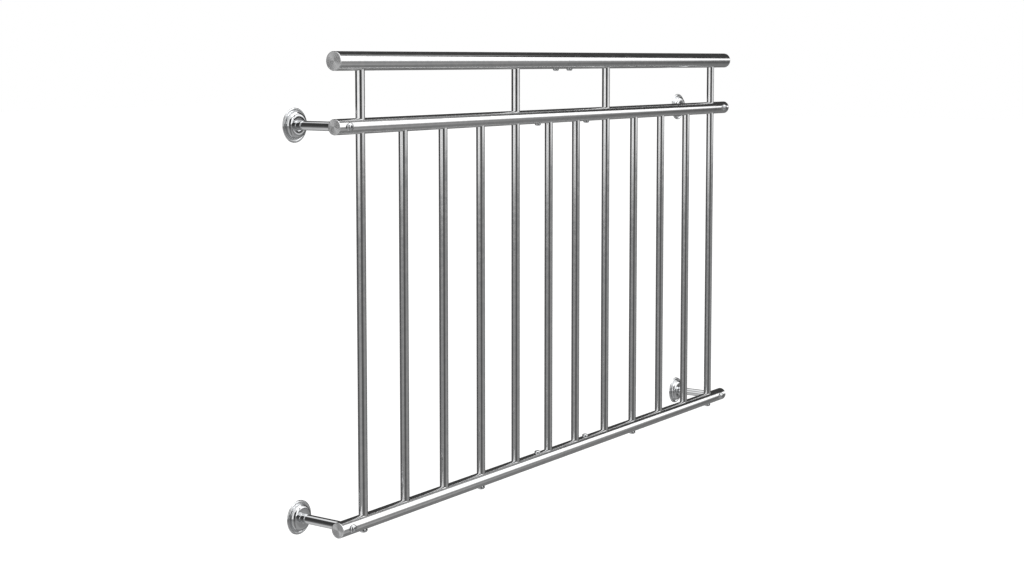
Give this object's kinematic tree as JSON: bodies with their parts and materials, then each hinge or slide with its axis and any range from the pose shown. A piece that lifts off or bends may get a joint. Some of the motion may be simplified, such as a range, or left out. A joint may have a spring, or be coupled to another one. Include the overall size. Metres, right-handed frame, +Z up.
{
  "type": "juliet balcony",
  "caption": "Stainless tube railing with round balusters, a middle rail, a raised handrail and stand-off wall brackets with round covers.",
  "frame": {"origin": "centre of the lower left wall plate, on its back face", "axes": "+Z up, +Y into the wall, so the railing stands on the -Y side; +X along the rails, from the left bracket to the right one as seen from the street"},
  "size_m": [1.638, 0.1505, 0.9801],
  "materials": {
    "polished_tube": "mirror-polished stainless steel tube",
    "bracket_steel": "mirror-polished stainless steel",
    "brushed_end": "turned and brushed end face",
    "screw_steel": "bright stainless button-head screws",
    "inner_steel": "plain drawn tube, out of sight"
  },
  "bodies": {
    "root": {"handrail_left": "polished_tube", "handrail_right": "polished_tube", "handrail_sleeve": "inner_steel", "middle_rail_left": "polished_tube", "middle_rail_right": "polished_tube", "middle_rail_sleeve": "inner_steel", "bottom_rail_left": "polished_tube", "bottom_rail_right": "polished_tube", "bottom_rail_sleeve": "inner_steel", "handrail_cap_left": "brushed_end", "handrail_cap_right": "brushed_end", "middle_rail_cap_left": "brushed_end", "middle_rail_cap_right": "brushed_end", "bottom_rail_cap_left": "brushed_end", "bottom_rail_cap_right": "brushed_end", "outer_post_left": "polished_tube", "inner_post_left": "polished_tube", "inner_post_right": "polished_tube", "outer_post_right": "polished_tube", "baluster_2": "polished_tube", "baluster_3": "polished_tube", "baluster_4": "polished_tube", "baluster_6": "polished_tube", "baluster_7": "polished_tube", "baluster_9": "polished_tube", "baluster_10": "polished_tube", "baluster_11": "polished_tube", "upper_left_arm": "bracket_steel", "upper_right_arm": "bracket_steel", "lower_left_arm": "bracket_steel", "lower_right_arm": "bracket_steel", "upper_left_cover": "bracket_steel", "upper_right_cover": "bracket_steel", "lower_left_cover": "bracket_steel", "lower_right_cover": "bracket_steel", "upper_left_bolt": "screw_steel", "upper_right_bolt": "screw_steel", "lower_left_bolt": "screw_steel", "lower_right_bolt": "screw_steel", "handrail_joint_screws": "screw_steel", "middle_rail_joint_screws": "screw_steel", "bottom_rail_joint_screws": "screw_steel", "foot_screws": "screw_steel"}
  },
  "joints": []
}
